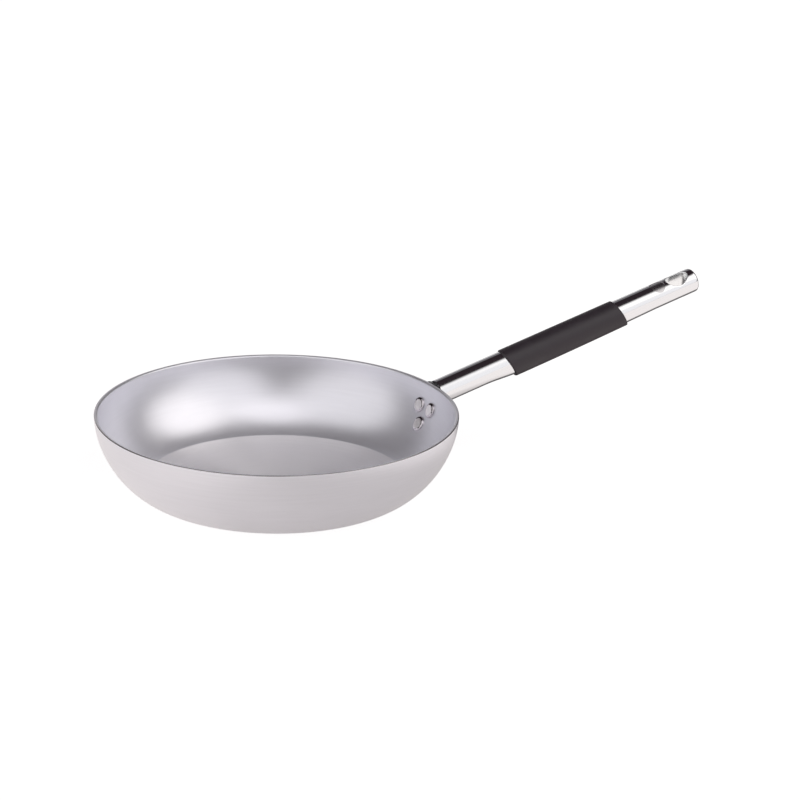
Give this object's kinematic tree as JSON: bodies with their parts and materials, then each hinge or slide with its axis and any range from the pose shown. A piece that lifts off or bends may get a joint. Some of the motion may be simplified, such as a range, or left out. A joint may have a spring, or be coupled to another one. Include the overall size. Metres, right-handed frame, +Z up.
{
  "type": "sauteuse pan",
  "caption": "Aluminium sauteuse pan with a curved flaring side and flat base, and a riveted polished tubular steel handle with a black grip sleeve and a hang hole.",
  "frame": {"origin": "centre of the flat base's underside", "axes": "+Z up through the bowl, +X from the bowl's centre along the handle, Y across the handle"},
  "size_m": [0.5321, 0.28, 0.1242],
  "materials": {
    "aluminium": "fine satin, turned",
    "polished_steel": "mirror polished stainless steel",
    "rivet_steel": "bright tumbled",
    "black_rubber": "matte, fine grain"
  },
  "bodies": {
    "root": {"pan_body": "aluminium", "handle_flange": "polished_steel", "handle_tube": "polished_steel", "grip_sleeve": "black_rubber", "rivet_upper_left": "rivet_steel", "rivet_upper_right": "rivet_steel", "rivet_lower": "rivet_steel"}
  },
  "joints": []
}
